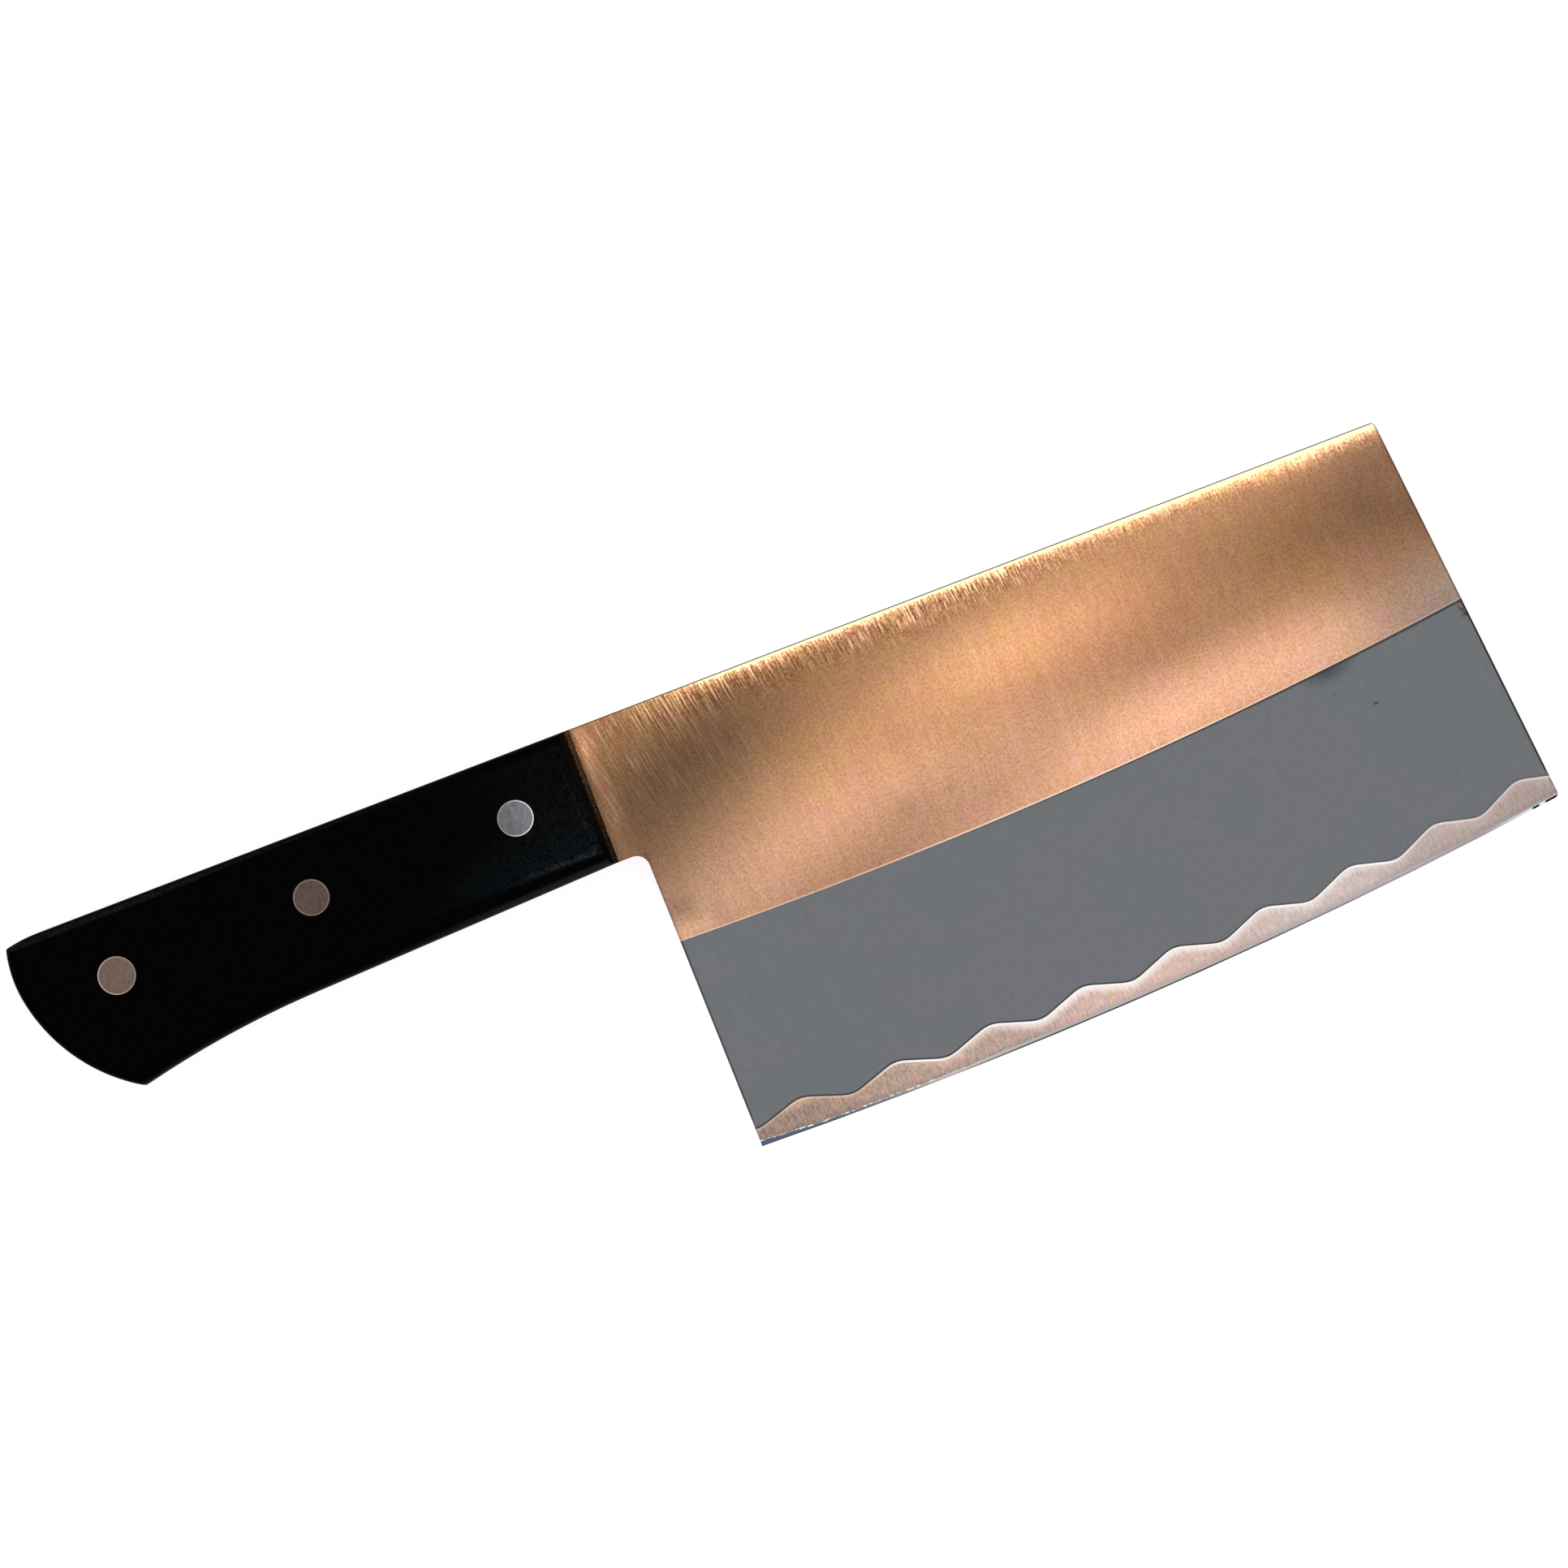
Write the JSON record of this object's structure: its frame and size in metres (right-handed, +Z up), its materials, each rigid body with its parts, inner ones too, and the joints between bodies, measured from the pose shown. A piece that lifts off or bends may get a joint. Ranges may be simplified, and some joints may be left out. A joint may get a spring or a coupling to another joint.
{
  "type": "chinese cleaver",
  "caption": "Chinese vegetable cleaver: tall rectangular steel blade with a gently curved edge, full tang and riveted black handle scales.",
  "frame": {"origin": "middle of the bounding box's underside, with the knife lying flat on its left side", "axes": "+X from the butt of the handle to the tip of the blade, +Y from the cutting edge to the spine, +Z up out of the blade's right face"},
  "size_m": [0.3123, 0.0952, 0.019],
  "materials": {
    "blade_steel": "satin, ground across the blade",
    "handle_wood": "black resin-filled laminate, satin",
    "rivet_steel": "satin, ground flush"
  },
  "bodies": {
    "root": {"blade": "blade_steel", "right_scale": "handle_wood", "left_scale": "handle_wood", "front_rivet_sleeve": "rivet_steel", "front_rivet_stud": "rivet_steel", "middle_rivet_sleeve": "rivet_steel", "middle_rivet_stud": "rivet_steel", "rear_rivet_sleeve": "rivet_steel", "rear_rivet_stud": "rivet_steel"}
  },
  "joints": []
}
